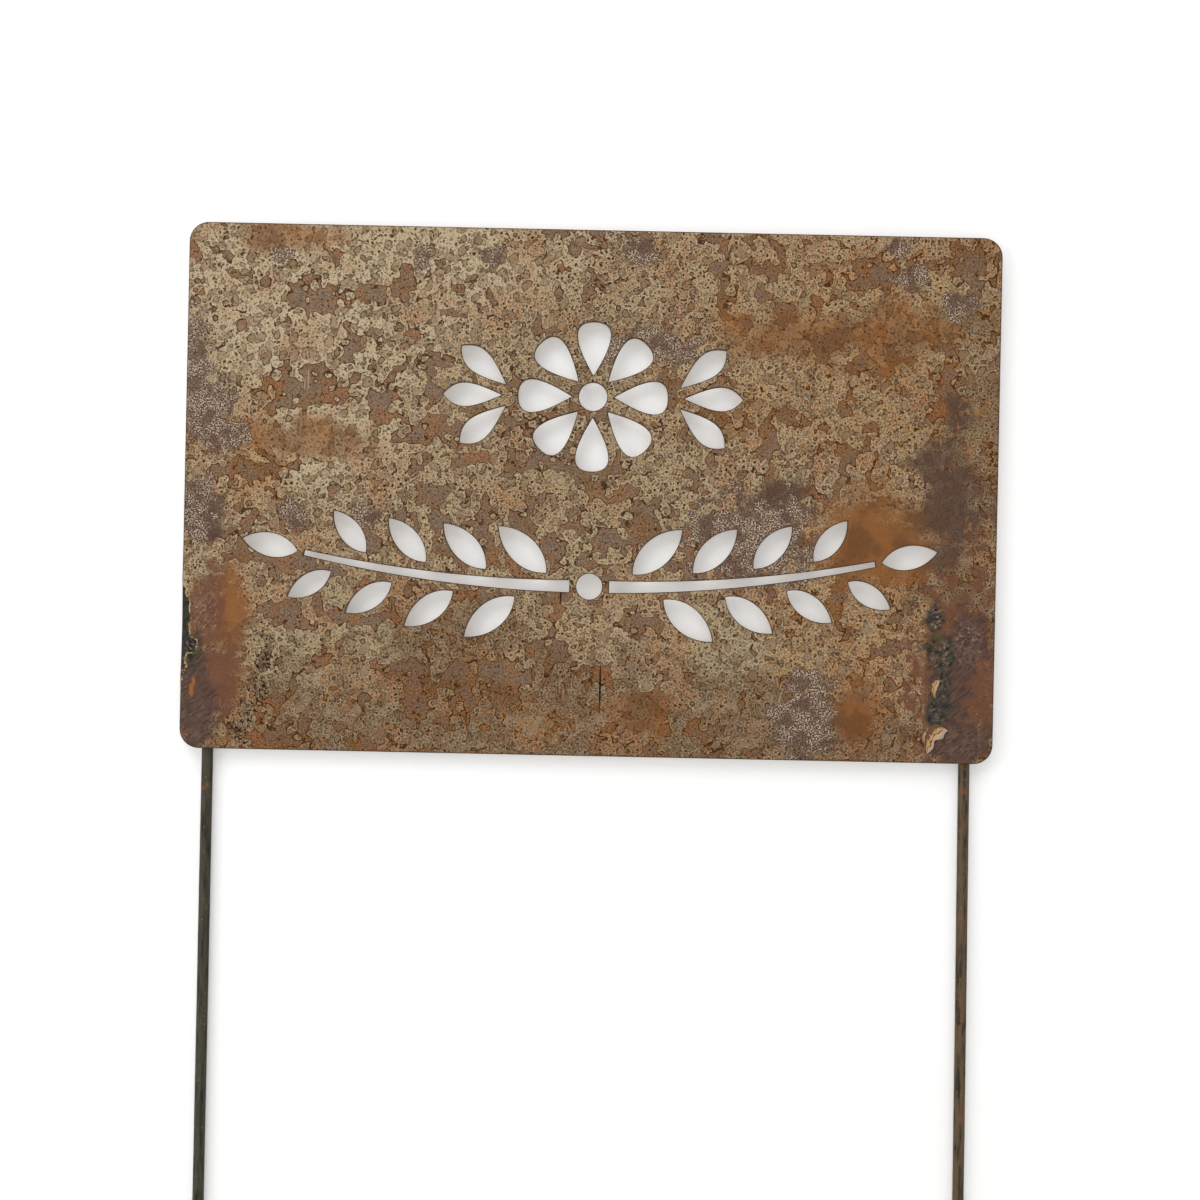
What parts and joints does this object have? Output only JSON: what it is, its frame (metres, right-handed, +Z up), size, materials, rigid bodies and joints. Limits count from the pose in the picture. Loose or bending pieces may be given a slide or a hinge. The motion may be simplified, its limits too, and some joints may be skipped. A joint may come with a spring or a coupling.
{
  "type": "garden sign stake",
  "caption": "Rust-finished steel garden sign: a round-cornered plate with leaf and flower cut-outs, welded to round stakes that push into soil.",
  "frame": {"origin": "on the soil line, midway between the stakes and level with their axes", "axes": "+Z up along the stakes, -Y out of the sign's front face, +X to the right of someone reading the front"},
  "size_m": [0.3454, 0.0066, 0.5285],
  "materials": {
    "patina_plate": "matte",
    "left_bar": "satin",
    "right_bar": "satin",
    "weld_metal": "satin"
  },
  "bodies": {
    "root": {"sign_plate": "patina_plate", "left_stake": "left_bar", "right_stake": "right_bar", "left_lower_weld": "weld_metal", "left_upper_weld": "weld_metal", "right_lower_weld": "weld_metal", "right_middle_weld": "weld_metal", "right_upper_weld": "weld_metal"}
  },
  "joints": []
}
